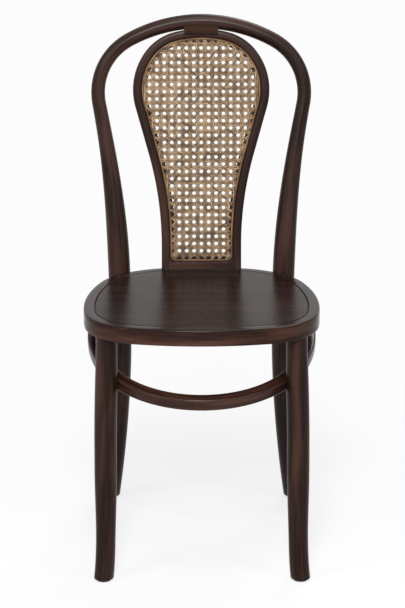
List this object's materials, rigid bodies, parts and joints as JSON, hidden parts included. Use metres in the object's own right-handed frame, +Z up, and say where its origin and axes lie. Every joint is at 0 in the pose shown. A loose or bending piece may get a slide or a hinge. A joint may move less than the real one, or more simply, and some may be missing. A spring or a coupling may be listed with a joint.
{
  "type": "bentwood bistro chair",
  "caption": "Bentwood side chair: bent back hoop that runs down into the rear legs, waisted cane back panel, rounded seat with bent rim, and a bent hoop that ties the legs.",
  "frame": {"origin": "on the floor, under the middle of the chair's bounding box", "axes": "+Z up, -Y is the way the sitter faces, +X is the right-hand side seen from the front"},
  "size_m": [0.412, 0.5043, 0.9104],
  "materials": {
    "stained_beech": "satin walnut stain and lacquer",
    "seat_veneer": "satin walnut stain and lacquer on plywood",
    "bare_beech": "bare",
    "cane": "natural woven cane",
    "reed": "natural reed",
    "zinc_steel": "zinc plated",
    "dark_steel": "blackened",
    "glide_nylon": "matte nylon"
  },
  "bodies": {
    "root": {"back_hoop": "stained_beech", "cane_frame_loop": "stained_beech", "cane_frame_rail": "stained_beech", "hoop_spacer": "stained_beech", "seat_rim": "stained_beech", "seat_panel": "seat_veneer", "front_leg_left": "stained_beech", "front_leg_right": "stained_beech", "leg_hoop": "stained_beech", "spacer_plugs": "stained_beech", "cane_panel": "cane", "cane_spline": "reed", "frame_foot_dowels": "bare_beech", "rail_dowels": "bare_beech", "spacer_screws": "zinc_steel", "rail_screws": "zinc_steel", "leg_lock_screws": "zinc_steel", "leg_hoop_screws": "zinc_steel", "rear_leg_bolts": "dark_steel", "bolt_washers": "zinc_steel", "bolt_nuts": "zinc_steel", "glide_nails": "zinc_steel", "glide_front_left": "glide_nylon", "glide_front_right": "glide_nylon", "glide_rear_left": "glide_nylon", "glide_rear_right": "glide_nylon"}
  },
  "joints": []
}
